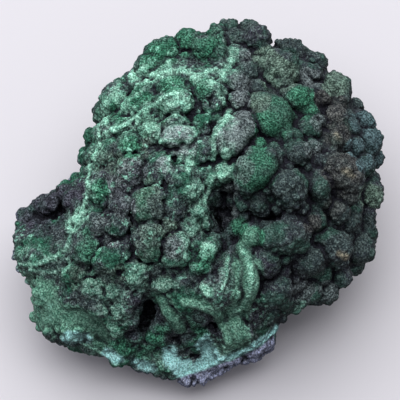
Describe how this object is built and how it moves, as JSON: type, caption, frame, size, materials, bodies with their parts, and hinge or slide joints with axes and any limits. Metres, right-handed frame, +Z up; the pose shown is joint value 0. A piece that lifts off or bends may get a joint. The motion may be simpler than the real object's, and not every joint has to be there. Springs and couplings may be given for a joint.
{
  "type": "malachite specimen",
  "caption": "Hand-size botryoidal malachite: a dome of rounded dark green lobes, pale crusts and a turquoise rim over rough purple-grey rock, worn flat to rest.",
  "frame": {"origin": "middle of the bounding box's footprint, on the surface the stone rests on", "axes": "+Z up from the rest face, +X to the right along the longest extent, -Y toward the side the show face leans to"},
  "size_m": [0.1124, 0.106, 0.0631],
  "materials": {
    "malachite": "velvety botryoidal crust, dark green with pale mint and turquoise edges and purple-grey rock below"
  },
  "bodies": {
    "root": {"malachite_specimen": "malachite"}
  },
  "joints": []
}
